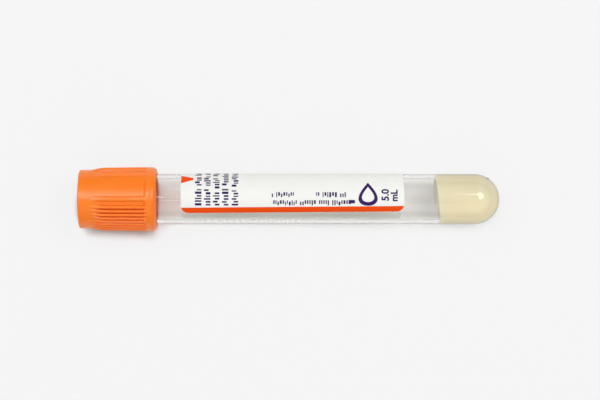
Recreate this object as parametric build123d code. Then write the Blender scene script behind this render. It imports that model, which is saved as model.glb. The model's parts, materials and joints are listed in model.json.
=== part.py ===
from build123d import *
import os
from math import acos, atan2, cos, degrees, hypot, radians, sin, sqrt, tan

# A capped blood collection tube with gel in its round bottom, lying on its side. Millimetres.
# The pieces are drawn round the X axis, with x measured from the closure's top face towards
# the round bottom. The finished part is then laid down on the plane z = 0, where it rests on
# a flat of the closure's rim and on the round bottom, so its axis falls a little towards +X.
# Angles round the axis start at the top of the lying part and grow towards its front, -Y.

# Tube: moulded clear plastic with an open end and a half-ball bottom
tube_length = 100.0
tube_diameter = 13.0
tube_wall = 1.0
tube_lip_rounding = 0.3
tube_mouth_draft = 0.03  # how much wider in radius the outside is at the lip
tube_mouth_draft_length = 12.0

# Stopper: rubber, a head that caps the tube and a ringed plug that fills its mouth
head_height = 7.18
head_overhang = 0.4  # beyond the outside of the tube, all round
head_rounding = 0.4
plug_length = 8.0
plug_running_gap = 0.03  # between the plug's rings and the tube's bore, all round
plug_ring_height = 0.15
plug_ring_count = 3
plug_tip_chamfer = 0.5
plug_wall = 1.82  # round the recess, at the plug's mouth
septum_thickness = 5.58  # what the needle pierces, between the well and the recess
needle_well_depth = 2.6
needle_well_ledge = 0.5  # how far the well's mouth lies inside the shield's opening
needle_well_taper = 8.0
blood_recess_taper = 4.0
lip_seat_gap = 0.02  # between the head's underside and the tube's lip

# Safety shield: moulded plastic shell over the stopper and the tube's mouth
shield_length = 20.1
shield_wall = 0.6  # round the stopper's head, at the top face
shield_taper = 0.75
shield_top_wall = 1.5
shield_top_rounding = 0.5
needle_opening_diameter = 8.0
needle_opening_rounding = 0.4
head_cavity_gap = 0.05  # between the stopper's head and the shield, all round
skirt_tube_gap = 0.25  # between the skirt and the tube, all round
rim_wall = 1.525  # from the skirt's bore to the rim band's outside
rim_end_flat = 0.175  # what the rim's rounding leaves of the skirt's end face
rim_band_length = 3.3
rim_band_step = 0.3

# Grip ribs on the shield: two groups, with a smooth panel between them on each side
rib_group_angles = (62.3, -117.7)
ribs_per_group = 13
rib_pitch_angle = 7.8
rib_crest_width = 0.52
rib_foot_width = 0.8
wide_rib_pitch_angle = 15.5  # from the last rib of the group to the wide rib outside it
wide_rib_crest_width = 0.95
wide_rib_foot_width = 1.25
rib_ramp_start = 3.3
rib_ramp_length = 4.0
rib_crest_drop = 0.125  # how far the crests lie inside the rim band where their ramp ends
flat_width = 2.0  # of the flats cut across the rim band where the wide ribs end

# Gel: fills the round bottom, with a face that leans towards the front
gel_wall_gap = 0.02
gel_depth = 16.2  # along the axis, from the face's middle to the tube's outer tip
gel_lean = 6.8
gel_face_dip = 0.35  # how far the middle of the face lies below its edge
gel_face_edge = 0.7  # width of the face's flat edge, round the dip

# Label: printed film glued round the tube, with its two long edges apart
label_from_lip = 17.7
label_length = 57.2
label_thickness = 0.1
label_glue_gap = 0.01
label_front_edge_angle = 32.7
label_wrap_angle = 280.0
label_corner_radius = 2.0

# Worked out from the sizes above
tube_radius = tube_diameter / 2
bore_radius = tube_radius - tube_wall
head_radius = tube_radius + head_overhang
head_top = shield_top_wall
head_bottom = head_top + head_height
plug_end = head_bottom + plug_length
lip_x = head_bottom + lip_seat_gap
ball_x = lip_x + tube_length - tube_radius
tip_x = ball_x + tube_radius
opening_radius = needle_opening_diameter / 2
cavity_radius = head_radius + head_cavity_gap
skirt_radius = tube_radius + skirt_tube_gap
rim_radius = skirt_radius + rim_wall
rim_rounding = rim_wall - rim_end_flat
band_x = shield_length - rim_band_length
ribs_end = band_x + rim_band_step
wide_rib_turn = (ribs_per_group - 1) / 2 * rib_pitch_angle + wide_rib_pitch_angle
wide_rib_angles = [group + side * wide_rib_turn for group in rib_group_angles for side in (-1, 1)]
flat_radius = sqrt(rim_radius**2 - (flat_width / 2) ** 2)  # from the axis to the flats
label_start = lip_x + label_from_lip
cut_margin = 1.0  # how far a cutting shape reaches past what it cuts


def turned(outline):
    """A solid of revolution about the tube's axis."""
    return revolve(make_face(outline), Axis.X)


def shield_radius(x):
    """Radius of the shield's plain outer surface at x."""
    return cavity_radius + shield_wall + tan(radians(shield_taper)) * x


def edges_at(solid, x, radius):
    """The circular edges of a turned solid at one place along the axis."""
    found = solid.edges().filter_by(GeomType.CIRCLE)
    return found.filter_by(
        lambda e: abs(e.center().X - x) < 1e-3 and abs(e.radius - radius) < 1e-3
    )


def make_tube():
    lip_radius = tube_radius + tube_mouth_draft
    draft_end = lip_x + tube_mouth_draft_length
    shell = turned(
        Curve()
        + [
            Line((lip_x, bore_radius), (lip_x, lip_radius)),
            Line((lip_x, lip_radius), (draft_end, tube_radius)),
            Line((draft_end, tube_radius), (ball_x, tube_radius)),
            RadiusArc((ball_x, tube_radius), (tip_x, 0), tube_radius),
            Line((tip_x, 0), (tip_x - tube_wall, 0)),
            RadiusArc((tip_x - tube_wall, 0), (ball_x, bore_radius), -bore_radius),
            Line((ball_x, bore_radius), (lip_x, bore_radius)),
        ]
    )
    lip = edges_at(shell, lip_x, lip_radius) + edges_at(shell, lip_x, bore_radius)
    return fillet(lip, tube_lip_rounding)


def make_stopper():
    ring_radius = bore_radius - plug_running_gap
    plug_radius = ring_radius - plug_ring_height
    body = turned(
        Polyline(
            (head_top, 0),
            (head_top, head_radius),
            (head_bottom, head_radius),
            (head_bottom, plug_radius),
            (plug_end - plug_tip_chamfer, plug_radius),
            (plug_end, plug_radius - plug_tip_chamfer),
            (plug_end, 0),
            close=True,
        )
    )
    body = fillet(edges_at(body, head_top, head_radius), head_rounding)

    # Sealing rings, each half as wide as the spacing, with a crest an eighth of it wide
    spacing = (plug_length - plug_tip_chamfer) / (plug_ring_count + 1)
    foot_half, crest_half = spacing / 4, spacing / 16
    for ring in range(plug_ring_count):
        middle = head_bottom + (ring + 1) * spacing
        body += turned(
            Polyline(
                (middle - foot_half, plug_radius - plug_ring_height),
                (middle - foot_half, plug_radius),
                (middle - crest_half, ring_radius),
                (middle + crest_half, ring_radius),
                (middle + foot_half, plug_radius),
                (middle + foot_half, plug_radius - plug_ring_height),
                close=True,
            )
        )

    well_floor_x = head_top + needle_well_depth
    well_mouth = opening_radius - needle_well_ledge
    well_floor = well_mouth - tan(radians(needle_well_taper)) * needle_well_depth
    body -= turned(
        Polyline(
            (head_top - cut_margin, 0),
            (head_top - cut_margin, well_mouth),
            (head_top, well_mouth),
            (well_floor_x, well_floor),
            (well_floor_x, 0),
            close=True,
        )
    )
    recess_floor_x = well_floor_x + septum_thickness
    recess_depth = plug_end - recess_floor_x
    recess_mouth = plug_radius - plug_wall
    recess_floor = recess_mouth - tan(radians(blood_recess_taper)) * recess_depth
    body -= turned(
        Polyline(
            (plug_end + cut_margin, 0),
            (plug_end + cut_margin, recess_mouth),
            (plug_end, recess_mouth),
            (recess_floor_x, recess_floor),
            (recess_floor_x, 0),
            close=True,
        )
    )
    return body


def cross_section(angle, points):
    """A face across the axis from (radius, sideways) points, turned to an angle round the axis."""
    turn = radians(angle)
    # The sketch plane has the part's +Y as its first axis and the part's +Z as its second.
    placed = [
        (-r * sin(turn) - w * cos(turn), r * cos(turn) - w * sin(turn)) for r, w in points
    ]
    return make_face(Polyline(*placed, close=True))


def rib_section(angle, crest_width, foot_width):
    """One rib across the axis: a tapered tooth that starts inside the shell and passes the crests."""
    foot_radius = shield_radius(rib_ramp_start)
    slope = (foot_width - crest_width) / 2 / (rim_radius - foot_radius)
    low, high = foot_radius - shield_wall / 2, rim_radius + cut_margin
    low_half = foot_width / 2 + slope * (foot_radius - low)
    high_half = max(crest_width / 2 - slope * (high - rim_radius), 0)
    points = ((low, -low_half), (high, -high_half), (high, high_half), (low, low_half))
    if high_half == 0:
        point_radius = rim_radius + crest_width / 2 / slope
        points = ((low, -low_half), (point_radius, 0), (low, low_half))
    return cross_section(angle, points)


def make_ribs():
    middle = (ribs_per_group - 1) / 2
    sections = Sketch()
    for group in rib_group_angles:
        for rib in range(ribs_per_group):
            angle = group + (rib - middle) * rib_pitch_angle
            sections += rib_section(angle, rib_crest_width, rib_foot_width)
    for angle in wide_rib_angles:
        sections += rib_section(angle, wide_rib_crest_width, wide_rib_foot_width)
    teeth = extrude(Plane.YZ.offset(rib_ramp_start) * sections, ribs_end - rib_ramp_start)

    # The teeth are trimmed to a sleeve whose outside ramps up from the plain surface.
    ramp_end = rib_ramp_start + rib_ramp_length
    foot, crest = shield_radius(rib_ramp_start), rim_radius - rib_crest_drop
    inside = foot - shield_wall / 4
    crest_slope = rib_crest_drop / (ribs_end - ramp_end)
    sleeve = turned(
        Curve()
        + [
            Line((rib_ramp_start, inside), (rib_ramp_start, foot)),
            Spline(
                (rib_ramp_start, foot),
                (ramp_end, crest),
                tangents=[(1, tan(radians(shield_taper))), (1, crest_slope)],
            ),
            Line((ramp_end, crest), (ribs_end, rim_radius)),
            Line((ribs_end, rim_radius), (ribs_end, inside)),
            Line((ribs_end, inside), (rib_ramp_start, inside)),
        ]
    )
    return teeth & sleeve


def flats_waste():
    """What is cut off the wide ribs and the rim band to leave a flat where each wide rib ends."""
    high, half = rim_radius + cut_margin, flat_width / 2 + cut_margin
    waste = Sketch()
    for angle in wide_rib_angles:
        corners = ((flat_radius, -half), (high, -half), (high, half), (flat_radius, half))
        waste += cross_section(angle, corners)
    length = shield_length + cut_margin - rib_ramp_start
    return extrude(Plane.YZ.offset(rib_ramp_start) * waste, length)


def make_shield():
    shell = turned(
        Polyline(
            (0, opening_radius),
            (0, shield_radius(0)),
            (band_x, shield_radius(band_x)),
            (band_x + rim_band_step, rim_radius),
            (shield_length, rim_radius),
            (shield_length, skirt_radius),
            (head_bottom, skirt_radius),
            (head_bottom, cavity_radius),
            (shield_top_wall, cavity_radius),
            (shield_top_wall, opening_radius),
            close=True,
        )
    )
    shell = fillet(edges_at(shell, 0, shield_radius(0)), shield_top_rounding)
    shell = fillet(edges_at(shell, 0, opening_radius), needle_opening_rounding)
    shell = fillet(edges_at(shell, shield_length, rim_radius), rim_rounding)
    return shell + make_ribs() - flats_waste()


def make_gel():
    gel_radius = bore_radius - gel_wall_gap
    face_x = tip_x - gel_depth
    fill_x = face_x - tube_radius
    fill = turned(
        Curve()
        + [
            Line((fill_x, 0), (fill_x, gel_radius)),
            Line((fill_x, gel_radius), (ball_x, gel_radius)),
            RadiusArc((ball_x, gel_radius), (ball_x + gel_radius, 0), gel_radius),
            Line((ball_x + gel_radius, 0), (fill_x, 0)),
        ]
    )
    # All above the leaning face is cut away, and a shallow ball leaves the dip in it.
    face = Location((face_x, 0, 0), (0, 0, gel_lean))
    block = 2 * tube_diameter
    above = face * Pos(-block / 2, 0, 0) * Box(block, block, block)
    dip_half = bore_radius - gel_face_edge
    dip_radius = (dip_half**2 + gel_face_dip**2) / (2 * gel_face_dip)
    dip = face * Pos(gel_face_dip - dip_radius, 0, 0) * Sphere(dip_radius)
    return fill - above - dip


def corner_waste(end_side, edge_side):
    """What is cut off a label corner to round it, laid flat on the film over the corner's arc."""
    end_x = label_start if end_side < 0 else label_start + label_length
    edge = label_front_edge_angle - (0 if edge_side > 0 else label_wrap_angle)
    angle = radians(edge) - edge_side * label_corner_radius / tube_radius
    outward = (0, -sin(angle), cos(angle))
    middle = (
        end_x - end_side * label_corner_radius,
        tube_radius * outward[1],
        tube_radius * outward[2],
    )
    # This plane's +X runs along the tube, and its +Y runs round it against the angles.
    flat = Plane(origin=middle, x_dir=(1, 0, 0), z_dir=outward)
    size = label_corner_radius + cut_margin
    square = Pos(end_side * size / 2, -edge_side * size / 2) * Rectangle(size, size)
    return extrude(flat * (square - Circle(label_corner_radius)), label_corner_radius, both=True)


def make_label():
    inside = tube_radius + label_glue_gap
    outside = inside + label_thickness
    label_end = label_start + label_length
    strip = make_face(
        Polyline(
            (label_start, inside),
            (label_start, outside),
            (label_end, outside),
            (label_end, inside),
            close=True,
        )
    )
    # The strip is drawn at -90 degrees, is turned to the label's far edge and swept to its front one.
    far_edge_angle = label_front_edge_angle - label_wrap_angle
    film = revolve(Rot(90 + far_edge_angle, 0, 0) * strip, Axis.X, label_wrap_angle)
    for end_side in (-1, 1):
        for edge_side in (-1, 1):
            film -= corner_waste(end_side, edge_side)
    return film


def resting_tilt():
    """Degrees from the axis to the line that touches a flat's far end and the ball from below."""
    rounding_height = flat_radius - (rim_radius - rim_rounding)
    flat_end = shield_length - rim_rounding + sqrt(rim_rounding**2 - rounding_height**2)
    along = ball_x - flat_end
    lean = acos(tube_radius / hypot(along, flat_radius))
    return degrees(lean - atan2(along, flat_radius))


pieces = {
    "tube": make_tube(),
    "stopper": make_stopper(),
    "shield": make_shield(),
    "gel": make_gel(),
    "label": make_label(),
}

# Laid down: the axis tips by the resting tilt, and the box's bottom centre becomes the origin.
tilt = resting_tilt()
tipped = {name: Rot(0, tilt, 0) * piece for name, piece in pieces.items()}
box = Compound(list(tipped.values())).bounding_box()
laid = Pos(-box.center().X, -box.center().Y, -box.min.Z)

os.makedirs("parts", exist_ok=True)
for name, piece in tipped.items():
    export_step(laid * piece, f"parts/{name}.step")

top_centre = laid.position
print("tilt in degrees", tilt, "closure's top centre", top_centre, "box", box.size)
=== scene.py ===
import bmesh
import bpy
import json
from math import atan2, cos, hypot, pi, radians, sin, tan
from random import Random
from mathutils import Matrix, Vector


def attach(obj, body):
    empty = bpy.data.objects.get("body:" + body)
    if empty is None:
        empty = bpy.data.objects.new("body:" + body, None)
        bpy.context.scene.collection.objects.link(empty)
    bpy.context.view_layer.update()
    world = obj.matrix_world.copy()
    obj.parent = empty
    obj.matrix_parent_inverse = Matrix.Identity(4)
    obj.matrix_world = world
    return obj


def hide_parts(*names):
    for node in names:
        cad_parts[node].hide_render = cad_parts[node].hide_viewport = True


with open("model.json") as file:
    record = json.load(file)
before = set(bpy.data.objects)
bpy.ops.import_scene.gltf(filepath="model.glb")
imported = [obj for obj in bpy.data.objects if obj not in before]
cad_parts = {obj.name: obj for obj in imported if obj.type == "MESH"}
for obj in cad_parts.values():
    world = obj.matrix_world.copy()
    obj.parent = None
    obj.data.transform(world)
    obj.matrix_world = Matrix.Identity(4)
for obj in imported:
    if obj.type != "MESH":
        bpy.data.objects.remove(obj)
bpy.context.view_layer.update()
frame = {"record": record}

# A capped blood collection tube, lying on its side with gel in its round bottom.
# Every piece is drawn in millimetres round the X axis, with x counted from the closure's top
# face, z up and -Y the front, and is then laid in its place in the frame.
# Angles round the tube start at the top and grow towards the front.

tiny = 1e-3  # mm: closer than this, two points are one
# mm: printed and scattered pieces start from a scrap this far below, which is then deleted
scrapZ, scrapTop = -500, -400
openingInset = 0.95  # mm from the closure's top face to the middle of its needle opening
opening = next(m for m in frame["record"]["mounts"] if m["name"] == "needle_opening")
outOfClosure = Vector(opening["axis"])
topCentre = Vector(opening["pos_m"]) + outOfClosure * openingInset / 1000
restingTilt = atan2(outOfClosure.z, -outOfClosure.x)  # the tube dips towards its round bottom


# Modelling helpers

def startAlone():
    if bpy.context.object and bpy.context.object.mode == "EDIT":
        bpy.ops.object.mode_set(mode="OBJECT")
    bpy.ops.object.select_all(action="DESELECT")


def pickVerts(piece, wanted):
    # selects the points of the piece in edit mode that wanted() says yes to
    bpy.ops.mesh.select_mode(type="VERT")
    bpy.ops.mesh.select_all(action="DESELECT")
    mesh = bmesh.from_edit_mesh(piece.data)
    for vert in mesh.verts:
        vert.select_set(wanted(vert.co))
    mesh.select_flush_mode()
    bmesh.update_edit_mesh(piece.data)


def runWire(name, points):
    # a wire from point to point: one vertex, extruded on and on
    startAlone()
    bpy.ops.mesh.primitive_plane_add(size=1, location=points[0])
    piece = bpy.context.object
    piece.name = name
    bpy.ops.object.transform_apply()
    bpy.ops.object.mode_set(mode="EDIT")
    bpy.ops.mesh.select_mode(type="VERT")
    bpy.ops.mesh.select_all(action="SELECT")
    bpy.ops.mesh.merge(type="CENTER")
    for here, there in zip(points, points[1:]):
        step = Vector(there) - Vector(here)
        bpy.ops.mesh.extrude_region_move(TRANSFORM_OT_translate={"value": step})
    bpy.ops.mesh.select_all(action="SELECT")
    bpy.ops.mesh.remove_doubles(threshold=tiny)
    return piece


def turnedPiece(name, outline, steps, roundings=(), firstAngle=0.0):
    # an outline of (x, radius) points with some corners rounded, spun round the tube's axis
    piece = runWire(name, [(x, 0, radius) for x, radius in outline])
    for cornerX, cornerRadius, rounding, segments in roundings:
        pickVerts(piece, lambda p: hypot(p.x - cornerX, p.z - cornerRadius) < 10 * tiny)
        bpy.ops.mesh.bevel(affect="VERTICES", offset=rounding, segments=segments)
    bpy.ops.mesh.select_all(action="SELECT")
    if firstAngle:
        turnAbout(firstAngle)
    bpy.ops.mesh.spin(steps=steps, angle=2 * pi, center=(0, 0, 0), axis=(1, 0, 0))
    bpy.ops.mesh.select_all(action="SELECT")
    bpy.ops.mesh.remove_doubles(threshold=tiny)
    bpy.ops.mesh.delete_loose()
    bpy.ops.mesh.select_all(action="SELECT")
    bpy.ops.mesh.normals_make_consistent(inside=False)
    return piece


def turnAbout(angle):
    # turns what is selected round the tube's axis, towards the front
    bpy.ops.transform.rotate(value=-radians(angle), orient_axis="X", center_override=(0, 0, 0))


def applyModifier(piece, kind, **settings):
    startAlone()
    piece.select_set(True)
    bpy.context.view_layer.objects.active = piece
    modifier = piece.modifiers.new(kind.title(), kind)
    for name, value in settings.items():
        setattr(modifier, name, value)
    bpy.ops.object.modifier_apply(modifier=modifier.name)


def smoothShading(piece, degreesSharp):
    startAlone()
    piece.select_set(True)
    bpy.context.view_layer.objects.active = piece
    bpy.ops.object.shade_smooth_by_angle(angle=radians(degreesSharp))


def bisectEvery(piece, axis, spacing):
    # cuts across the whole piece at even steps along one axis, so that it can bend
    if bpy.context.object is not piece or piece.mode != "EDIT":
        startAlone()
        piece.select_set(True)
        bpy.context.view_layer.objects.active = piece
        bpy.ops.object.mode_set(mode="EDIT")
    places = [vert.co[axis] for vert in bmesh.from_edit_mesh(piece.data).verts]
    cuts = int((max(places) - min(places)) / spacing)
    for cut in range(1, cuts + 1):
        place, across = [0, 0, 0], [0, 0, 0]
        place[axis] = min(places) + cut * (max(places) - min(places)) / (cuts + 1)
        across[axis] = 1
        bpy.ops.mesh.select_all(action="SELECT")
        bpy.ops.mesh.bisect(plane_co=place, plane_no=across)


def flatPlace(x, angle, radius):
    # where a spot of the tube lies on the flat sheet, before the sheet is wrapped
    return Vector((x, 0, radians(90 - angle) * radius))


def wrapRound(piece, radius, thickness, bendStep=0.3):
    # bends a flat sheet, drawn in the XZ plane and facing the front, round the tube
    bisectEvery(piece, 2, bendStep)
    startAlone()
    heights = [vert.co.z for vert in piece.data.vertices]
    turn = (max(heights) - min(heights)) / radius
    applyModifier(piece, "SIMPLE_DEFORM", deform_method="BEND", deform_axis="X", angle=turn)
    piece.location = (0, -radius, 0)
    bpy.ops.object.transform_apply()
    applyModifier(piece, "SOLIDIFY", thickness=thickness, offset=1, use_even_offset=True)


def layInPlace(piece, body, slotName, material, *nodes):
    # from millimetres round the X axis to metres in the frame, on the body it moves with
    startAlone()
    piece.select_set(True)
    bpy.context.view_layer.objects.active = piece
    piece.location = topCentre
    piece.rotation_euler = (0, restingTilt, 0)
    piece.scale = (0.001, 0.001, 0.001)
    bpy.ops.object.transform_apply()
    piece.data.materials.clear()
    piece.data.materials.append(material)
    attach(piece, body)
    if nodes:
        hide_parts(*nodes)


# Material helpers

def linearColour(hexColour):
    # sRGB hex to the linear values that shaders take
    parts = [int(hexColour[i : i + 2], 16) / 255 for i in (1, 3, 5)]
    return [p / 12.92 if p <= 0.04045 else ((p + 0.055) / 1.055) ** 2.4 for p in parts] + [1]


def startMaterial(name):
    material = bpy.data.materials.new(name)
    material.use_nodes = True
    return material, material.node_tree.nodes["Principled BSDF"]


def addNode(owner, kind, settings=(), **inputs):
    # adds one node; an input is a value or the socket to link from, by name or as inN by number
    tree = owner.node_tree
    node = tree.nodes.new(kind)
    for name, value in dict(settings).items():
        setattr(node, name, value)
    setInputs(owner, node, **inputs)
    return node


def setInputs(owner, node, **inputs):
    for name, value in inputs.items():
        if name.startswith("in") and name[2:].isdigit():
            socket = node.inputs[int(name[2:])]
        else:
            socket = next(s for s in node.inputs if s.name.replace(" ", "") == name)
        if isinstance(value, bpy.types.NodeSocket):
            owner.node_tree.links.new(value, socket)
        else:
            socket.default_value = value


def letLightThrough(material, shader, hexColour, scattered=0.0):
    # shadow rays pass through the wall, tinted once at each face, and so does this share of
    # light that has already scattered; what the camera sees stays as the shader makes it
    path = addNode(material, "ShaderNodeLightPath")
    hasScattered = addNode(material, "ShaderNodeMath", {"operation": "MINIMUM"},
                           in0=path.outputs["Diffuse Depth"], in1=scattered)
    passing = addNode(material, "ShaderNodeMath", {"operation": "MAXIMUM"},
                      in0=path.outputs["Is Shadow Ray"], in1=hasScattered.outputs[0])
    clear = addNode(material, "ShaderNodeBsdfTransparent", Color=linearColour(hexColour))
    mix = addNode(material, "ShaderNodeMixShader", in0=passing.outputs[0],
                  in1=shader.outputs[0], in2=clear.outputs[0])
    setInputs(material, material.node_tree.nodes["Material Output"], Surface=mix.outputs[0])


def perMetre(millimetres):
    # the scale that makes a pattern repeat about once in so many millimetres
    return 1000 / millimetres


# Camera, light and floor

view = {
    "place": (0.00272, -0.00023, 0.5256),  # straight above, a little beyond the tube's middle
    "lens": 120.0,
    # each lamp: the way it stands from the tube, its width and depth in metres, and its share
    # of the light that falls on the floor
    "lamps": {
        "softboxLeft": ((-tan(radians(28)), tan(radians(17)), 1), 0.43, 0.33, 0.24),
        "softboxRight": ((tan(radians(28)), tan(radians(17)), 1), 0.43, 0.33, 0.26),
        "frontPanel": ((0, -0.9, 1), 1.1, 0.6, 0.09),
        "glintLeft": ((-tan(radians(28)), tan(radians(17)), 1), 0.36, 0.27, 0.18),
        "glintRight": ((tan(radians(28)), tan(radians(17)), 1), 0.36, 0.27, 0.18),
        "glintOverClosure": ((-0.225, tan(radians(15)), 1), 0.1, 0.3, 0.09),
    },
    # these show in glossy skins but light nothing
    "onlyGlints": ("glintLeft", "glintRight", "glintOverClosure"),
    "lampDistance": 0.8,
    "skyShare": 0.52,
    "roomInGloss": (0.1, 0.45),  # how bright glossy skins see the room, low down and high up
    "roomInPlastic": (0.2, 1.0),  # and how bright it is through the clear tube
    "roomHeights": (0.05, 0.6),  # between which the room brightens
    "roomBehind": 0.9,  # how bright it is where the camera sees past the floor
    "floorGlow": 0.88,  # how much of the floor's shade is lifted where the camera sees it
    "glowInPlastic": 0.6,  # the share of that lift that is seen through the tube
    # metres: nearer than this to the closure, or to the tube, the floor keeps its shade
    "contactReach": (0.0058, 0.0042),
    "contactSide": (0, 0.6, 0.8),  # the shade lies on the side that this points away from
    "contactBehind": 0.45,  # behind the tube and past the closure, the reach shrinks to this
    # fixed places on the floor, in metres, that fit the closure at rest: between the two
    # numbers one reach or tone gives way to the next
    "reachFalls": (-0.036, -0.03),  # along, from the closure's reach to the tube's
    "behindStarts": (-0.004, 0.006),  # across, from the front to the back
    "capEnds": (-0.0575, -0.053),  # along, from past the closure's top to beside it
    "besideEnds": (-0.036, -0.034),  # along, from beside the closure to beside the tube
    # how open the floor is: over this range the painted shade by the closure, a darker and warmer
    # tone in the board's colour, goes from full to none, and the glow takes the openness to this
    # power by the tube and by the closure
    "shadeOpen": (0.7, 0.98), "shadePower": (2.0, 5.0),
}

bpy.ops.object.camera_add(location=view["place"], rotation=(0, 0, 0))
camera = bpy.context.object
camera.name = "camera"
camera.data.lens = view["lens"]
camera.data.sensor_width = 36
bpy.context.scene.camera = camera
bpy.context.scene.view_settings.view_transform = "Standard"


for lampName, (towards, width, depth, share) in view["lamps"].items():
    direction = Vector(towards).normalized()
    startAlone()
    bpy.ops.object.light_add(type="AREA", location=direction * view["lampDistance"])
    lamp = bpy.context.object
    lamp.name = lampName
    lamp.rotation_euler = direction.to_track_quat("Z", "Y").to_euler()
    lamp.data.shape = "RECTANGLE"
    lamp.data.size, lamp.data.size_y = width, depth
    lamp.data.energy = share * pi**2 * view["lampDistance"] ** 2 / direction.z
    lamp.visible_diffuse = lampName not in view["onlyGlints"]

room = bpy.data.worlds.new("paleRoom")
room.use_nodes = True
bpy.context.scene.world = room
background = room.node_tree.nodes["Background"]
ray = addNode(room, "ShaderNodeLightPath")
roomPlace = addNode(room, "ShaderNodeTexCoord").outputs["Generated"]
roomHeight = addNode(room, "ShaderNodeSeparateXYZ", Vector=roomPlace).outputs[2]
# the room is dim near the floor, which draws the dark edges of clear plastic
glossTone, plasticTone = (
    addNode(room, "ShaderNodeMapRange", in0=roomHeight, FromMin=view["roomHeights"][0],
            FromMax=view["roomHeights"][1], ToMin=view[kind][0], ToMax=view[kind][1])
    for kind in ("roomInGloss", "roomInPlastic"))
skyTone = view["skyShare"]
for kind, tone in (("Is Glossy Ray", glossTone.outputs[0]),
                   ("Is Transmission Ray", plasticTone.outputs[0]),
                   ("Is Camera Ray", view["roomBehind"])):
    skyTone = addNode(room, "ShaderNodeMapRange", in0=ray.outputs[kind],
                      ToMin=skyTone, ToMax=tone).outputs[0]
setInputs(room, background, Color=(1, 1, 1, 1), Strength=skyTone)

# Matt white studio board: no gloss, so that only soft shadows show on it
board, boardShader = startMaterial("mattStudioBoard")
boardGrain = addNode(board, "ShaderNodeTexNoise", Scale=perMetre(3), Detail=2.0)
boardTone = addNode(board, "ShaderNodeMix", {"data_type": "RGBA"}, in0=boardGrain.outputs[0],
                    in6=linearColour("#EDEDEE"), in7=linearColour("#EFEFEE"))
boardPlace = addNode(board, "ShaderNodeTexCoord").outputs["Object"]
boardAxes = addNode(board, "ShaderNodeSeparateXYZ", Vector=boardPlace)
boardAlong = boardAxes.outputs[0]
boardRay = addNode(board, "ShaderNodeLightPath")
boardThrough = addNode(board, "ShaderNodeMath", {"operation": "MULTIPLY"},
                       in0=boardRay.outputs["Is Transmission Ray"], in1=view["glowInPlastic"])
boardSeen = addNode(board, "ShaderNodeMath", {"operation": "MAXIMUM"},
                    in0=boardRay.outputs["Is Camera Ray"], in1=boardThrough.outputs[0])
boardFrontReach = addNode(board, "ShaderNodeMapRange", in0=boardAlong,
                          FromMin=view["reachFalls"][0], FromMax=view["reachFalls"][1],
                          ToMin=view["contactReach"][0], ToMax=view["contactReach"][1])
boardSide = addNode(board, "ShaderNodeMapRange", in0=boardAxes.outputs[1],
                    FromMin=view["behindStarts"][0], FromMax=view["behindStarts"][1],
                    ToMin=1.0, ToMax=view["contactBehind"])
boardSideReach = addNode(board, "ShaderNodeMath", {"operation": "MULTIPLY"},
                         in0=boardFrontReach.outputs[0], in1=boardSide.outputs[0])
boardEnd = addNode(board, "ShaderNodeMapRange", in0=boardAlong, FromMin=view["capEnds"][0],
                   FromMax=view["capEnds"][1], ToMin=view["contactBehind"], ToMax=1.0)
boardReach = addNode(board, "ShaderNodeMath", {"operation": "MULTIPLY"},
                     in0=boardSideReach.outputs[0], in1=boardEnd.outputs[0])
boardOpen = addNode(board, "ShaderNodeAmbientOcclusion", {"samples": 16},
                    Distance=boardReach.outputs[0], Normal=view["contactSide"])
# painted shade: close beside the closure, where little is open, the board's colour is painted
# darker and a touch warmer
boardBeside = addNode(board, "ShaderNodeMapRange", in0=boardAlong,
                      FromMin=view["besideEnds"][0], FromMax=view["besideEnds"][1],
                      ToMin=1.0, ToMax=0.0)
boardUnder = addNode(board, "ShaderNodeMapRange", in0=boardOpen.outputs["AO"],
                     FromMin=view["shadeOpen"][0], FromMax=view["shadeOpen"][1],
                     ToMin=1.0, ToMax=0.0)
boardPaintedShade = addNode(board, "ShaderNodeMath", {"operation": "MULTIPLY"},
                   in0=boardBeside.outputs[0], in1=boardUnder.outputs[0])
boardSkin = addNode(board, "ShaderNodeMix", {"data_type": "RGBA"}, in0=boardPaintedShade.outputs[0],
                    in6=boardTone.outputs[2], in7=linearColour("#ACA09C"))
setInputs(board, boardShader, BaseColor=boardSkin.outputs[2], Roughness=0.9,
          SpecularIORLevel=0.1)
boardFall = addNode(board, "ShaderNodeMapRange", in0=boardBeside.outputs[0],
                    ToMin=view["shadePower"][0], ToMax=view["shadePower"][1])
boardClear = addNode(board, "ShaderNodeMath", {"operation": "POWER"},
                     in0=boardOpen.outputs["AO"], in1=boardFall.outputs[0])
boardGlowShare = addNode(board, "ShaderNodeMath", {"operation": "MULTIPLY"},
                         in0=boardClear.outputs[0], in1=view["floorGlow"])
boardLift = addNode(board, "ShaderNodeMath", {"operation": "MULTIPLY"},
                    in0=boardSeen.outputs[0], in1=boardGlowShare.outputs[0])
boardGlow = addNode(board, "ShaderNodeEmission", Color=linearColour("#F6F6F6"))
boardMix = addNode(board, "ShaderNodeMixShader", in0=boardLift.outputs[0],
                   in1=boardShader.outputs[0], in2=boardGlow.outputs[0])
setInputs(board, board.node_tree.nodes["Material Output"], Surface=boardMix.outputs[0])

startAlone()
bpy.ops.mesh.primitive_plane_add(size=6)
floor = bpy.context.object
floor.name = "floor"
floor.data.materials.append(board)
print("camera, light and floor are set")


# Tube: injection-moulded clear plastic, open end inside the closure

tubeShape = {
    "lip": 8.7, "ballCentre": 102.2, "radius": 6.5, "wall": 1.0,
    "mouthRadius": 6.53, "mouthDraftEnd": 20.7, "lipRounding": 0.3,
    "steps": 192, "ballRows": 40,
    # the straight wall is cut into short faces, which shade evenly
    "outsideRows": range(25, 101, 5), "insideRows": range(100, 9, -5),
}


def ballArc(radius, fromAngle, toAngle, rows):
    # points of the round bottom, from angle to angle off the tube's axis
    angles = [radians(fromAngle + (toAngle - fromAngle) * i / rows) for i in range(rows + 1)]
    return [(tubeShape["ballCentre"] + radius * cos(a), radius * sin(a)) for a in angles]


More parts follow.
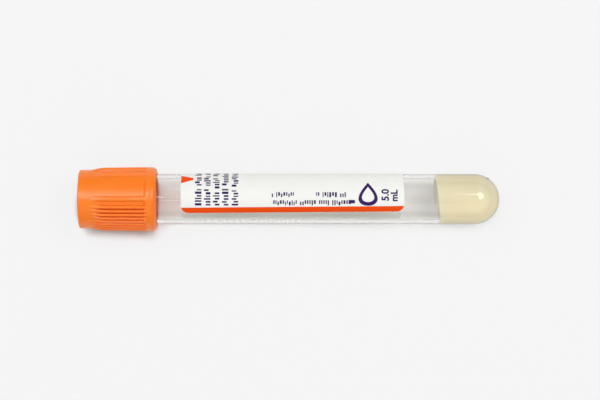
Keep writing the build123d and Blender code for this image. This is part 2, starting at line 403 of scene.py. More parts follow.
def moulded(shape):
    outside, inside = shape["radius"], shape["radius"] - shape["wall"]
    outline = [(shape["lip"], inside), (shape["lip"], shape["mouthRadius"]),
               (shape["mouthDraftEnd"], outside)]
    outline += [(x, outside) for x in shape["outsideRows"]]
    outline += ballArc(outside, 90, 0, shape["ballRows"])
    outline += ballArc(inside, 0, 90, shape["ballRows"])
    outline += [(x, inside) for x in shape["insideRows"]]
    outline.append((shape["lip"], inside))
    roundings = ((shape["lip"], inside, shape["lipRounding"], 4),
                 (shape["lip"], shape["mouthRadius"], shape["lipRounding"], 4))
    return turnedPiece("tubeShell", outline, shape["steps"], roundings)


tubeShell = moulded(tubeShape)
smoothShading(tubeShell, 50)

# PET, injection moulded and clear: a glossy skin with a faint waviness from the mould, through
# which the floor shows bent and slightly grey
clearPet, petShader = startMaterial("clearPetInjectionMoulded")
petPlace = addNode(clearPet, "ShaderNodeTexCoord").outputs["Object"]
petStretch = addNode(clearPet, "ShaderNodeMapping", Vector=petPlace, Scale=(0.12, 1, 1))
petWave = addNode(clearPet, "ShaderNodeTexNoise", Vector=petStretch.outputs[0],
                  Scale=perMetre(1.6), Detail=1.5)
petBump = addNode(clearPet, "ShaderNodeBump", Strength=0.12, Distance=0.00002,
                  Height=petWave.outputs[0])
petGloss = addNode(clearPet, "ShaderNodeMapRange", in0=petWave.outputs[0], ToMin=0.02, ToMax=0.06)
petTint = addNode(clearPet, "ShaderNodeMix", {"data_type": "RGBA"}, in0=petWave.outputs[0],
                  in6=linearColour("#F6F5F3"), in7=linearColour("#FBFAF9"))
# painted shade: the plastic's colour turns grey where it is seen edge on, standing in for the
# dark edges that bent light gives clear plastic
petEdge = addNode(clearPet, "ShaderNodeLayerWeight").outputs["Facing"]
petEdgeShade = addNode(clearPet, "ShaderNodeMapRange", in0=petEdge, FromMin=0.6, FromMax=0.9)
petSkin = addNode(clearPet, "ShaderNodeMix", {"data_type": "RGBA"}, in0=petEdgeShade.outputs[0],
                  in6=petTint.outputs[2], in7=linearColour("#86888A"))
setInputs(clearPet, petShader, BaseColor=petSkin.outputs[2], Roughness=petGloss.outputs[0],
          IOR=1.575, TransmissionWeight=1.0, Normal=petBump.outputs[0])
letLightThrough(clearPet, petShader, "#FAFAF9")
layInPlace(tubeShell, "tube", "clear_plastic", clearPet, "tube")
print("tube is moulded")


# Gel: cast in the round bottom, with a leaning, dished face

gelShape = {
    "radius": 5.51,  # just inside the wall, so that no air shows between gel and tube
    "faceMiddle": 92.5, "lean": 6.8, "dip": 0.35,
    "spare": 4,  # the plug is cast this much too long and then cut to its leaning face
    "rows": range(92, 102, 2),
    "rings": 9, "eye": 0.4,  # of the dished face, and the radius left in its middle
    "steps": 192,
}


def castGel(shape):
    start = shape["faceMiddle"] - shape["spare"]
    outline = [(start, 0), (start, shape["radius"])]
    outline += [(x, shape["radius"]) for x in shape["rows"]]
    outline += ballArc(shape["radius"], 90, 0, tubeShape["ballRows"])
    piece = turnedPiece("gelPlug", outline, shape["steps"])
    facing = Vector((-cos(radians(shape["lean"])), -sin(radians(shape["lean"])), 0))
    bpy.ops.mesh.select_all(action="SELECT")
    bpy.ops.mesh.bisect(plane_co=(shape["faceMiddle"], 0, 0), plane_no=facing,
                        use_fill=True, clear_outer=True)
    # the face is sunk in rings, steep at the wall and level in the middle
    bpy.ops.mesh.select_mode(type="FACE")
    rings = shape["rings"]
    reach = shape["radius"] - shape["eye"]
    for ring in range(rings):
        before, after = ring / rings, (ring + 1) / rings
        sink = shape["dip"] * ((1 - before) ** 2 - (1 - after) ** 2)
        bpy.ops.mesh.inset(thickness=reach / rings, depth=-sink)
    bpy.ops.mesh.poke()
    return piece


gelPlug = castGel(gelShape)
smoothShading(gelPlug, 40)

# Barrier gel: thixotropic, cream, cast wet against the wall. Light goes a little way in, so it
# looks soft and even. Its front is painted paler, as painted light for the light that gathers in
# the gel there
creamGel, gelShader = startMaterial("creamBarrierGelCast")
gelPlaceSocket = addNode(creamGel, "ShaderNodeTexCoord").outputs["Object"]
gelCloud = addNode(creamGel, "ShaderNodeTexNoise", Vector=gelPlaceSocket, Scale=perMetre(5),
                   Detail=2.0)
gelTone = addNode(creamGel, "ShaderNodeMix", {"data_type": "RGBA"}, in0=gelCloud.outputs[0],
                  in6=linearColour("#DAD3B5"), in7=linearColour("#E0D9BB"))
# painted light: the colour turns paler towards the front
gelSide = addNode(creamGel, "ShaderNodeSeparateXYZ", Vector=gelPlaceSocket).outputs[1]
gelPaintedFrontLight = addNode(creamGel, "ShaderNodeMapRange", in0=gelSide, FromMin=0.002, FromMax=-0.006)
gelSkin = addNode(creamGel, "ShaderNodeMix", {"data_type": "RGBA"}, in0=gelPaintedFrontLight.outputs[0],
                  in6=gelTone.outputs[2], in7=linearColour("#F6ECCA"))
gelBump = addNode(creamGel, "ShaderNodeBump", Strength=0.2, Distance=0.00005,
                  Height=gelCloud.outputs[0])
setInputs(creamGel, gelShader, BaseColor=gelSkin.outputs[2], Roughness=0.45, IOR=1.4,
          SubsurfaceWeight=1.0, SubsurfaceRadius=(1.0, 0.9, 0.7), SubsurfaceScale=0.004,
          Normal=gelBump.outputs[0])
layInPlace(gelPlug, "tube", "barrier_gel", creamGel, "gel")
print("gel is cast")


# Closure: ribbed safety shield over a rubber stopper

shieldShape = {
    "length": 20.1, "topWall": 1.5, "openingRadius": 4.0, "openingRounding": 0.4,
    "topRadius": 7.55, "taper": 0.75, "topRounding": 0.5,
    "bandStart": 16.95, "bandStep": 0.55, "bandRadius": 8.275, "endRounding": 1.35,
    "skirtBore": 6.75, "headCavity": 6.95, "headBottom": 8.68,
    "steps": 600,  # 0.6 degrees each, so a rib's pitch is 13 steps
    "ribGroups": (62.3, -117.7), "ribsPerGroup": 13, "pitchSteps": 13, "wideRibSteps": 104,
    "rampStart": 2.7, "rampEnd": 6.4, "crestStart": 8.14,
    "flatWidth": 2.0, "wideRibAngle": 62.3,
    # where the tapered side is cut into rows of faces
    "rows": (1.5, 2.7, 3.2, 3.7, 4.2, 4.7, 5.2, 5.7, 6.1, 6.4, 8.5, 10.5, 12.5, 14.5, 16.4),
    "footRounding": 0.12, "bandRounding": 0.4, "boreRounding": 0.12,
}
# how high each step of a rib stands, as a share of the rib's height, from its middle outwards
ribProfile = (1.0, 0.985, 0.93, 0.82, 0.6, 0.25)
wideRibProfile = (1.0, 1.0, 1.0, 0.99, 0.96, 0.88, 0.68, 0.3, 0.03)


def crestRadius(shape, x):
    # the ribs rise out of the plain surface in a soft ramp, then run on almost level
    slope = tan(radians(shape["taper"]))
    rampEnd, bandTop = shape["rampEnd"], shape["bandStart"] + shape["bandStep"]
    crestSlope = (shape["bandRadius"] - shape["crestStart"]) / (bandTop - rampEnd)
    if x >= rampEnd:
        return shape["crestStart"] + (x - rampEnd) * crestSlope
    span = rampEnd - shape["rampStart"]
    t = (x - shape["rampStart"]) / span
    foot = shape["topRadius"] + slope * shape["rampStart"]
    return ((2 * t**3 - 3 * t**2 + 1) * foot + (t**3 - 2 * t**2 + t) * span * slope
            + (3 * t**2 - 2 * t**3) * shape["crestStart"] + (t**3 - t**2) * span * crestSlope)


def ribHeights(shape):
    # for each step round the shield, how much of a rib's height stands there
    heights = [0.0] * shape["steps"]
    middle = (shape["ribsPerGroup"] - 1) // 2
    for group in range(2):
        centre = group * shape["steps"] // 2
        ribs = [(centre + (i - middle) * shape["pitchSteps"], ribProfile)
                for i in range(shape["ribsPerGroup"])]
        ribs += [(centre + side * shape["wideRibSteps"], wideRibProfile) for side in (-1, 1)]
        for at, profile in ribs:
            for offset in range(-len(profile) + 1, len(profile)):
                heights[(at + offset) % shape["steps"]] = profile[abs(offset)]
    return heights


def raiseRibs(piece, shape):
    heights = ribHeights(shape)
    stepAngle = 360 / shape["steps"]
    bandTop = shape["bandStart"] + shape["bandStep"]

    def stepOf(p):
        angle = atan2(-p.y, p.z) * 180 / pi - shape["ribGroups"][0]
        return round(angle / stepAngle) % shape["steps"]

    mesh = bmesh.from_edit_mesh(piece.data)
    rows = {}
    for vert in mesh.verts:
        radius = hypot(vert.co.y, vert.co.z)
        inRamp = shape["rampStart"] + tiny < vert.co.x < bandTop + tiny
        if inRamp and radius > shape["topRadius"]:
            row = (round(vert.co.x, 2), round(radius, 2))
            rows.setdefault(row, []).append(vert.index)
    for (x, radius), members in sorted(rows.items()):
        rise = crestRadius(shape, x) - radius
        if rise < tiny:
            continue
        for height in sorted(set(heights) - {0.0}):
            mesh = bmesh.from_edit_mesh(piece.data)
            mesh.verts.ensure_lookup_table()
            bpy.ops.mesh.select_all(action="DESELECT")
            for index in members:
                if heights[stepOf(mesh.verts[index].co)] == height:
                    mesh.verts[index].select_set(True)
            mesh.select_flush_mode()
            wider = (radius + height * rise) / radius
            bpy.ops.transform.resize(value=(1, wider, wider), center_override=(0, 0, 0))


def cutFlats(shape):
    # a flat across the rim band where each wide rib ends; the part lies on one of them
    depth = (shape["bandRadius"] ** 2 - (shape["flatWidth"] / 2) ** 2) ** 0.5
    for group in shape["ribGroups"]:
        for side in (-1, 1):
            angle = radians(group + side * shape["wideRibAngle"])
            outward = Vector((0, -sin(angle), cos(angle)))
            bpy.ops.mesh.select_all(action="SELECT")
            bpy.ops.mesh.bisect(plane_co=outward * depth, plane_no=outward,
                                use_fill=True, clear_outer=True)


def mouldShield(shape):
    slope = tan(radians(shape["taper"]))
    outline = [(0, shape["openingRadius"]), (0, shape["topRadius"])]
    outline += [(x, shape["topRadius"] + slope * x) for x in shape["rows"]]
    bandFoot = (shape["bandStart"], shape["topRadius"] + slope * shape["bandStart"])
    bandTop = (shape["bandStart"] + shape["bandStep"], shape["bandRadius"])
    outline += [
        bandFoot, bandTop,
        (shape["length"], shape["bandRadius"]), (shape["length"], shape["skirtBore"]),
        (shape["headBottom"], shape["skirtBore"]), (shape["headBottom"], shape["headCavity"]),
        (shape["topWall"], shape["headCavity"]), (shape["topWall"], shape["openingRadius"]),
        (0, shape["openingRadius"]),
    ]
    roundings = (
        (0, shape["openingRadius"], shape["openingRounding"], 4),
        (0, shape["topRadius"], shape["topRounding"], 6),
        (*bandFoot, shape["footRounding"], 2), (*bandTop, shape["bandRounding"], 5),
        (shape["length"], shape["bandRadius"], shape["endRounding"], 10),
        (shape["length"], shape["skirtBore"], shape["boreRounding"], 2),
    )
    piece = turnedPiece("closureShield", outline, shape["steps"], roundings,
                        firstAngle=shape["ribGroups"][0])
    raiseRibs(piece, shape)
    cutFlats(shape)
    return piece


closureShield = mouldShield(shieldShape)
smoothShading(closureShield, 48)

# Polypropylene, injection moulded in bright orange: a satin skin that takes soft highlights,
# with light going a little way in, so thin edges glow
orangePp, orangeShader = startMaterial("orangePolypropyleneMoulded")
orangePlace = addNode(orangePp, "ShaderNodeTexCoord").outputs["Object"]
orangeCloud = addNode(orangePp, "ShaderNodeTexNoise", Vector=orangePlace, Scale=perMetre(4),
                      Detail=2.0)
orangeTone = addNode(orangePp, "ShaderNodeMix", {"data_type": "RGBA"},
                     in0=orangeCloud.outputs[0],
                     in6=linearColour("#FF7A06"), in7=linearColour("#FF8410"))
# painted shade: the grooves between the ribs are coloured darker and redder than the skin over
# the ribs, where less light reaches
orangeOpen = addNode(orangePp, "ShaderNodeAmbientOcclusion", {"samples": 8}, Distance=0.0012)
orangeGrooveShade = addNode(orangePp, "ShaderNodeMapRange", in0=orangeOpen.outputs["AO"],
                      FromMin=0.4, FromMax=0.8)
orangeSkin = addNode(orangePp, "ShaderNodeMix", {"data_type": "RGBA"},
                     in0=orangeGrooveShade.outputs[0], in6=linearColour("#C84000"),
                     in7=orangeTone.outputs[2])
# spark-eroded mould grain, really about 0.05 mm, drawn at 0.3 mm so that it shows
orangeGrain = addNode(orangePp, "ShaderNodeTexNoise", Vector=orangePlace, Scale=perMetre(0.3),
                      Detail=2.0)
orangeBump = addNode(orangePp, "ShaderNodeBump", Strength=0.25, Distance=0.00003,
                     Height=orangeGrain.outputs[0])
orangeGloss = addNode(orangePp, "ShaderNodeMapRange", in0=orangeCloud.outputs[0],
                      ToMin=0.27, ToMax=0.34)
setInputs(orangePp, orangeShader, BaseColor=orangeSkin.outputs[2],
          Roughness=orangeGloss.outputs[0], IOR=1.49, SubsurfaceWeight=0.3,
          SubsurfaceRadius=(1.0, 0.35, 0.1), SubsurfaceScale=0.0008, SpecularIORLevel=0.5,
          Normal=orangeBump.outputs[0])
# its wall is thin enough for reddish light to soak through
letLightThrough(orangePp, orangeShader, "#F6A880", scattered=0.9)
layInPlace(closureShield, "closure", "orange_plastic", orangePp, "shield")
print("shield is moulded")

stopperShape = {
    "headTop": 1.5, "headBottom": 8.68, "headRadius": 6.9, "headRounding": 0.4,
    "plugEnd": 16.68, "plugRadius": 5.32, "plugChamfer": 0.5,
    "ringRadius": 5.47, "ringCount": 3, "ringHalf": 0.47, "crestHalf": 0.12,
    "wellMouth": 3.5, "wellFloor": 3.13, "wellEnd": 4.1,
    "recessMouth": 3.5, "recessFloor": 3.01, "recessEnd": 9.68,
    "wellRounding": 0.3, "recessRounding": 0.3, "headFootRounding": 0.2,
    "plugTipRounding": 0.15,
    "steps": 160,
}


def mouldStopper(shape):
    spacing = (shape["plugEnd"] - shape["headBottom"] - shape["plugChamfer"]) / (
        shape["ringCount"] + 1)
    outline = [(shape["wellEnd"], 0), (shape["wellEnd"], shape["wellFloor"]),
               (shape["headTop"], shape["wellMouth"]), (shape["headTop"], shape["headRadius"]),
               (shape["headBottom"], shape["headRadius"]),
               (shape["headBottom"], shape["plugRadius"])]
    roundings = [(shape["wellEnd"], shape["wellFloor"], shape["wellRounding"], 3),
                 (shape["headTop"], shape["wellMouth"], shape["wellRounding"], 4),
                 (shape["headTop"], shape["headRadius"], shape["headRounding"], 5),
                 (shape["headBottom"], shape["headRadius"], shape["headFootRounding"], 3)]
    for ring in range(shape["ringCount"]):
        middle = shape["headBottom"] + (ring + 1) * spacing
        outline += [(middle - shape["ringHalf"], shape["plugRadius"]),
                    (middle - shape["crestHalf"], shape["ringRadius"]),
                    (middle + shape["crestHalf"], shape["ringRadius"]),
                    (middle + shape["ringHalf"], shape["plugRadius"])]
    outline += [(shape["plugEnd"] - shape["plugChamfer"], shape["plugRadius"]),
                (shape["plugEnd"], shape["plugRadius"] - shape["plugChamfer"]),
                (shape["plugEnd"], shape["recessMouth"]),
                (shape["recessEnd"], shape["recessFloor"]), (shape["recessEnd"], 0)]
    tip = shape["plugTipRounding"]
    roundings += [(shape["plugEnd"], shape["plugRadius"] - shape["plugChamfer"], tip, 3),
                  (shape["plugEnd"], shape["recessMouth"], tip, 3),
                  (shape["recessEnd"], shape["recessFloor"], shape["recessRounding"], 3)]
    return turnedPiece("rubberStopper", outline, shape["steps"], roundings)


rubberStopper = mouldStopper(stopperShape)
smoothShading(rubberStopper, 35)

# Butyl rubber, compression moulded: dark grey, matt and faintly dusty
greyRubber, rubberShader = startMaterial("greyButylRubberMoulded")
rubberPlace = addNode(greyRubber, "ShaderNodeTexCoord").outputs["Object"]
rubberCloud = addNode(greyRubber, "ShaderNodeTexNoise", Vector=rubberPlace,
                      Scale=perMetre(2.5), Detail=4.0)
rubberTone = addNode(greyRubber, "ShaderNodeMix", {"data_type": "RGBA"},
                     in0=rubberCloud.outputs[0],
                     in6=linearColour("#67676A"), in7=linearColour("#747477"))
rubberGrain = addNode(greyRubber, "ShaderNodeTexNoise", Vector=rubberPlace,
                      Scale=perMetre(0.25), Detail=3.0)
rubberBump = addNode(greyRubber, "ShaderNodeBump", Strength=0.4, Distance=0.00003,
                     Height=rubberGrain.outputs[0])
setInputs(greyRubber, rubberShader, BaseColor=rubberTone.outputs[2], Roughness=0.72, IOR=1.52,
          Normal=rubberBump.outputs[0])
layInPlace(rubberStopper, "closure", "grey_rubber", greyRubber, "stopper")
print("stopper is moulded")


# Label: printed white film round the tube, leaving a clear window at the front

labelShape = {
    "start": 26.4, "length": 57.2, "frontAngle": 32.7, "wrap": 280.0,
    "inside": 6.51, "thickness": 0.1, "cornerRadius": 2.0,
    "skew": 0.47,  # degrees: the label was stuck on a little askew, its far end to the back
    "cornerSegments": 10,
    "cutSpacing": 4.0,  # mm between the cuts across the film and the stripe
    "axisHeight": 0.0075,  # metres from the floor to the tube's axis, by the label's middle
    "glueGlow": 0.5,  # how much of the glue side's look is light that soaks through
}
ink = {
    "radius": 6.605,  # its foot is in the film, so no air shows under it
    "thickness": 0.017,
    "stripeWidth": 1.52,
}


def frontPlane(name, middle, width, height):
    # a flat rectangle in the XZ plane that faces the front
    startAlone()
    bpy.ops.mesh.primitive_plane_add(size=1, location=middle, rotation=(pi / 2, 0, 0))
    piece = bpy.context.object
    piece.name = name
    piece.scale = (width, height, 1)
    bpy.ops.object.transform_apply()
    return piece


def cutLabel(name, radius):
    # the film laid flat: a long rectangle with rounded corners
    shape = labelShape
    middle = flatPlace(shape["start"] + shape["length"] / 2,
                       shape["frontAngle"] - shape["wrap"] / 2, radius)
    piece = frontPlane(name, middle, shape["length"], radians(shape["wrap"]) * radius)
    bpy.ops.object.mode_set(mode="EDIT")
    bpy.ops.mesh.select_all(action="SELECT")
    bpy.ops.mesh.bevel(affect="VERTICES", offset=shape["cornerRadius"],
                       segments=shape["cornerSegments"])
    turn = radians(shape["skew"])
    pivot = flatPlace(shape["start"], shape["frontAngle"], radius)
    bpy.ops.mesh.select_all(action="SELECT")
    bpy.ops.transform.rotate(value=turn, orient_axis="Y", center_override=pivot)
    return piece


labelFilm = cutLabel("labelFilm", labelShape["inside"])
bisectEvery(labelFilm, 0, labelShape["cutSpacing"])
wrapRound(labelFilm, labelShape["inside"], labelShape["thickness"])
smoothShading(labelFilm, 40)

# Polypropylene label film, calendered white with a satin face: even, slightly warm, with a
# breath of unevenness where it is pressed on
whiteFilm, filmShader = startMaterial("whiteLabelFilmCalendered")
filmPlace = addNode(whiteFilm, "ShaderNodeTexCoord").outputs["Object"]
filmCloud = addNode(whiteFilm, "ShaderNodeTexNoise", Vector=filmPlace, Scale=perMetre(6),
                    Detail=3.0)
filmTone = addNode(whiteFilm, "ShaderNodeMix", {"data_type": "RGBA"}, in0=filmCloud.outputs[0],
                   in6=linearColour("#ECECE8"), in7=linearColour("#F0F0EC"))
filmGrain = addNode(whiteFilm, "ShaderNodeTexNoise", Vector=filmPlace, Scale=perMetre(0.4),
                    Detail=2.0)
filmBump = addNode(whiteFilm, "ShaderNodeBump", Strength=0.15, Distance=0.00002,
                   Height=filmGrain.outputs[0])
setInputs(whiteFilm, filmShader, BaseColor=filmTone.outputs[2], Roughness=0.5, IOR=1.49,
          SpecularIORLevel=0.3, Normal=filmBump.outputs[0])
# light soaks through, so the glue side, which faces the tube's axis, glows softly
filmFromAxis = addNode(whiteFilm, "ShaderNodeVectorMath", {"operation": "SUBTRACT"},
                       in0=filmPlace, in1=(0, 0, labelShape["axisHeight"]))
filmNormal = addNode(whiteFilm, "ShaderNodeTexCoord").outputs["Normal"]
filmOutwards = addNode(whiteFilm, "ShaderNodeVectorMath", {"operation": "DOT_PRODUCT"},
                       in0=filmFromAxis.outputs[0], in1=filmNormal)
filmGlueSide = addNode(whiteFilm, "ShaderNodeMath", {"operation": "LESS_THAN"},
                       in0=filmOutwards.outputs[1], in1=0.0)
filmSoak = addNode(whiteFilm, "ShaderNodeMath", {"operation": "MULTIPLY"},
                   in0=filmGlueSide.outputs[0], in1=labelShape["glueGlow"])
filmThrough = addNode(whiteFilm, "ShaderNodeBsdfTranslucent", Color=linearColour("#F6F6F4"))
filmBoth = addNode(whiteFilm, "ShaderNodeMixShader", in0=filmSoak.outputs[0],
                   in1=filmShader.outputs[0], in2=filmThrough.outputs[0])
letLightThrough(whiteFilm, filmBoth, "#F3F3F1", scattered=1.0)
layInPlace(labelFilm, "tube", "label_film", whiteFilm, "label")
print("label is wrapped")


def inkMaterial(name, darkHex, lightHex):
    # flexographic ink on film: a thin even coat, a little glossier than the film, with the
    # faint mottle of a plate print
    material, shader = startMaterial(name)
    place = addNode(material, "ShaderNodeTexCoord").outputs["Object"]
    mottle = addNode(material, "ShaderNodeTexNoise", Vector=place, Scale=perMetre(0.8),
                     Detail=3.0)
    tone = addNode(material, "ShaderNodeMix", {"data_type": "RGBA"}, in0=mottle.outputs[0],
                   in6=linearColour(darkHex), in7=linearColour(lightHex))
    setInputs(material, shader, BaseColor=tone.outputs[2], Roughness=0.5, SpecularIORLevel=0.12)
    return material


orangeInk = inkMaterial("orangeInkFlexoPrinted", "#E84600", "#EE5002")
violetInk = inkMaterial("violetInkFlexoPrinted", "#2E1352", "#3A1C62")


def printOn(piece, material):
    wrapRound(piece, ink["radius"], ink["thickness"])
    smoothShading(piece, 40)
    layInPlace(piece, "tube", "label_film", material)


# the stripe is the label's own outline, trimmed to its front edge
labelStripe = cutLabel("labelStripe", ink["radius"])
stripeTop = flatPlace(labelShape["start"], labelShape["frontAngle"], ink["radius"])
stripeTop.z += ink["stripeWidth"]
skew = radians(labelShape["skew"])
bpy.ops.mesh.select_all(action="SELECT")
bpy.ops.mesh.bisect(plane_co=stripeTop, plane_no=(-sin(skew), 0, cos(skew)), clear_outer=True)
bisectEvery(labelStripe, 0, labelShape["cutSpacing"])
printOn(labelStripe, orangeInk)


def flatShape(name, points):
    # a flat shape of (x, height) points in the XZ plane, facing the front
    piece = runWire(name, [(x, 0, z) for x, z in points])
    bpy.ops.mesh.select_all(action="SELECT")
    bpy.ops.mesh.edge_face_add()
    mesh = bmesh.from_edit_mesh(piece.data)
    if sum(face.normal.y for face in mesh.faces) > 0:
        bpy.ops.mesh.flip_normals()
    return piece


# an arrow mark with its base on the label's end
arrow = {"low": -37.8, "high": -64.1, "tip": -51.3, "depth": 3.15, "tipWidth": 0.8}
arrowBase = labelShape["start"]
arrowLow = flatPlace(arrowBase, arrow["low"], ink["radius"])
arrowHigh = flatPlace(arrowBase, arrow["high"], ink["radius"])
arrowTip = flatPlace(arrowBase + arrow["depth"], arrow["tip"], ink["radius"])
labelArrow = flatShape("labelArrow", [
    (arrowLow.x, arrowLow.z), (arrowTip.x, arrowTip.z - arrow["tipWidth"] / 2),
    (arrowTip.x, arrowTip.z + arrow["tipWidth"] / 2), (arrowHigh.x, arrowHigh.z),
    (arrowLow.x, arrowLow.z)])
printOn(labelArrow, orangeInk)


# Print that stands for words: bars, measured in shares of their row's height. A share that
# is listed more often comes up more often

bars = {
    "strokes": (0.2, 0.25, 0.28, 0.38), "talls": (0.72, 0.72, 0.72, 1.0),
    "lows": (0.0, 0.0, 0.0, 0.34), "gap": 0.18, "wordGap": 0.45,
    "firstWord": (3, 8), "word": (4, 12),  # how many bars make a word
}


def printBars(name, lines, seed):
    # rows of small bars that stand where print is: each row has a start, the way it runs, the
    # way its bars stand, a bar height and a length
    draw = Random(seed)
    startAlone()
    bpy.ops.mesh.primitive_plane_add(size=1, location=(0, 0, scrapZ), rotation=(pi / 2, 0, 0))
    piece = bpy.context.object
    piece.name = name
    bpy.ops.object.transform_apply()
    bpy.ops.object.mode_set(mode="EDIT")
    for start, along, upward, height, length in lines:
        here = 0.0
        word = draw.randint(*bars["firstWord"])
        while here < length:
            stroke = draw.choice(bars["strokes"]) * height
            tall = draw.choice(bars["talls"]) * height
            low = draw.choice(bars["lows"]) * height
            low = min(low, height - tall)
            middle = (Vector(start) + Vector(along) * (here + stroke / 2)
                      + Vector(upward) * (low + tall / 2))
            size = Vector(along) * stroke + Vector(upward) * tall
            bpy.ops.mesh.primitive_plane_add(size=1, location=middle, rotation=(pi / 2, 0, 0))
            bpy.ops.transform.resize(value=(abs(size.x), 1, abs(size.z)),
                                     center_override=middle)
            here += stroke + bars["gap"] * height
            word -= 1
            if word == 0:
                here += bars["wordGap"] * height
                word = draw.randint(*bars["word"])
    pickVerts(piece, lambda p: p.z < scrapTop)
    bpy.ops.mesh.delete(type="VERT")
    return piece


# five bold rows across the tube, read from the front towards the back
boldRows = {"front": 14.3, "tops": (30.0, 32.3, 34.6, 36.9, 39.4), "height": 1.66,
            "lengths": (22.5, 19.0, 21.0, 17.5, 12.5)}
rows = []
for top, length in zip(boldRows["tops"], boldRows["lengths"]):
    start = flatPlace(top + boldRows["height"], boldRows["front"], ink["radius"])
    rows.append((start, (0, 0, 1), (-1, 0, 0), boldRows["height"], length))
boldPrint = printBars("boldPrint", rows, 11)
printOn(boldPrint, violetInk)

# small rows along the tube, read from the round bottom towards the closure
smallRows = {"height": 1.3, "rows": ((69.1, 2.5, 19.6), (55.3, -15.5, 5.9), (68.6, -15.5, 7.7))}
rows = []
for end, angle, length in smallRows["rows"]:
    start = flatPlace(end, angle, ink["radius"])
    rows.append((start, (-1, 0, 0), (0, 0, -1), smallRows["height"], length))
smallPrint = printBars("smallPrint", rows, 5)
printOn(smallPrint, violetInk)

# a corner mark beside the small rows: a bar with a short foot
cornerMark = flatShape("cornerMark", [
    (69.3, 9.1), (69.9, 9.1), (69.9, 9.3), (70.95, 9.3), (70.95, 10.15), (69.3, 10.15),
    (69.3, 9.1)])
printOn(cornerMark, violetInk)

# a drop in outline, for what the tube is filled with
drop = {"x": 74.3, "angle": 15.0, "width": 5.4, "height": 6.4, "hollow": 0.64, "points": 48,
        "bulge": 1.3, "sharpness": 1.5}
dropFoot = flatPlace(drop["x"], drop["angle"], ink["radius"])
dropPoints = []
for i in range(drop["points"] + 1):
    t = 2 * pi * i / drop["points"]
    across = drop["width"] / 2 * drop["bulge"] * sin(t) * sin(t / 2) ** drop["sharpness"]
    dropPoints.append((drop["x"] + across, dropFoot.z + drop["height"] * (0.5 + 0.5 * cos(t))))
dropOutline = flatShape("dropOutline", dropPoints)
bpy.ops.mesh.select_mode(type="FACE")
bpy.ops.mesh.select_all(action="SELECT")
bpy.ops.mesh.inset(thickness=0)
bpy.ops.transform.resize(value=(drop["hollow"], 1, drop["hollow"]),
                         center_override=(drop["x"], 0, dropFoot.z + drop["width"] / 2))
bpy.ops.mesh.delete(type="FACE")
printOn(dropOutline, violetInk)

# the fill volume, as plain numbers and their unit, read from the front towards the back
volumeText = {"bold": 0.09, "lines": (("5.0", 2.55, 79.55, 4.2), ("mL", 2.4, 81.8, 5.3))}
for text, size, baseline, angle in volumeText["lines"]:
    startAlone()
    bpy.ops.object.text_add()
    words = bpy.context.object
    words.data.body = text
    words.data.size = size
    words.data.offset = volumeText["bold"]
    bpy.ops.object.convert(target="MESH")
    words = bpy.context.object
    words.name = "volumeNumber" if text[0] == "5" else "volumeUnit"
    words.location = flatPlace(baseline, angle, ink["radius"])
    words.rotation_euler = (pi / 2, -pi / 2, 0)
    bpy.ops.object.transform_apply()
    bpy.ops.object.mode_set(mode="EDIT")
    bpy.ops.mesh.select_all(action="SELECT")
    bpy.ops.mesh.remove_doubles(threshold=10 * tiny)
    printOn(words, violetInk)
print("label is printed")


# What the tube holds besides gel: dried clot activator on the wall, and one speck of dirt

specks = {"count": 110, "fromX": 28.0, "toX": 58.0, "fromAngle": 58.0, "toAngle": 78.0,
          "radius": 5.48, "size": 0.16,
          # shares of that size
          "sizes": (0.5, 1.4), "stretch": (1, 2.2), "flatness": 0.6, "roughness": 0.15}
dirt = {"place": (105.55, 5.3, 1.4), "radius": 0.25, "roughness": 0.05,
        "shape": (1.2, 0.8, 0.9)}  # shares of that radius


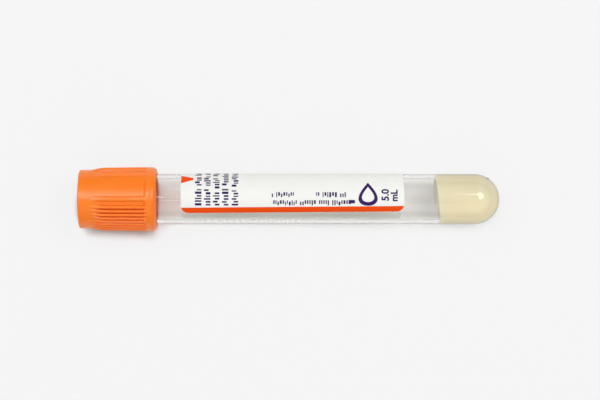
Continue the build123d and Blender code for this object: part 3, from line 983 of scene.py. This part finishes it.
def scatterSpecks(name, settings, seed):
    draw = Random(seed)
    startAlone()
    bpy.ops.mesh.primitive_ico_sphere_add(subdivisions=1, radius=0.5, location=(0, 0, scrapZ))
    piece = bpy.context.object
    piece.name = name
    bpy.ops.object.transform_apply()
    bpy.ops.object.mode_set(mode="EDIT")
    for _ in range(settings["count"]):
        x = draw.uniform(settings["fromX"], settings["toX"])
        angle = radians(draw.uniform(settings["fromAngle"], settings["toAngle"]))
        middle = Vector((x, -settings["radius"] * sin(angle), settings["radius"] * cos(angle)))
        size = settings["size"] * draw.uniform(*settings["sizes"])
        bpy.ops.mesh.primitive_ico_sphere_add(subdivisions=1, radius=0.5, location=middle)
        longest = size * draw.uniform(*settings["stretch"])
        bpy.ops.transform.resize(value=(longest, size, size * settings["flatness"]),
                                 center_override=middle)
    pickVerts(piece, lambda p: p.z < scrapTop)
    bpy.ops.mesh.delete(type="VERT")
    bpy.ops.mesh.select_all(action="SELECT")
    bpy.ops.transform.vertex_random(offset=settings["size"] * settings["roughness"], seed=seed)
    return piece


activatorSpecks = scatterSpecks("activatorSpecks", specks, 3)
smoothShading(activatorSpecks, 60)

# Clot activator, sprayed on and dried: chalky white flakes
whiteFlakes, flakeShader = startMaterial("whiteActivatorSprayDried")
flakePlace = addNode(whiteFlakes, "ShaderNodeTexCoord").outputs["Object"]
flakeCloud = addNode(whiteFlakes, "ShaderNodeTexNoise", Vector=flakePlace, Scale=perMetre(0.2))
flakeTone = addNode(whiteFlakes, "ShaderNodeMix", {"data_type": "RGBA"},
                    in0=flakeCloud.outputs[0],
                    in6=linearColour("#EDEDEA"), in7=linearColour("#FBFBF9"))
setInputs(whiteFlakes, flakeShader, BaseColor=flakeTone.outputs[2], Roughness=0.8)
layInPlace(activatorSpecks, "tube", "barrier_gel", whiteFlakes)

startAlone()
bpy.ops.mesh.primitive_ico_sphere_add(subdivisions=2, radius=dirt["radius"])
dirtSpeck = bpy.context.object
dirtSpeck.name = "dirtSpeck"
bpy.ops.object.mode_set(mode="EDIT")
bpy.ops.transform.resize(value=dirt["shape"])
bpy.ops.transform.vertex_random(offset=dirt["roughness"], seed=7)
bpy.ops.transform.translate(value=dirt["place"])
smoothShading(dirtSpeck, 60)

# Dust and ink dirt stuck to the tube: dull and almost black
darkDirt, dirtShader = startMaterial("darkDirtSpeck")
dirtPlace = addNode(darkDirt, "ShaderNodeTexCoord").outputs["Object"]
dirtCloud = addNode(darkDirt, "ShaderNodeTexNoise", Vector=dirtPlace, Scale=perMetre(0.15))
dirtTone = addNode(darkDirt, "ShaderNodeMix", {"data_type": "RGBA"}, in0=dirtCloud.outputs[0],
                   in6=linearColour("#3A3834"), in7=linearColour("#6A675F"))
setInputs(darkDirt, dirtShader, BaseColor=dirtTone.outputs[2], Roughness=0.85)
layInPlace(dirtSpeck, "tube", "clear_plastic", darkDirt)
print("specks are on")


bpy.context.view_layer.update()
startAlone()
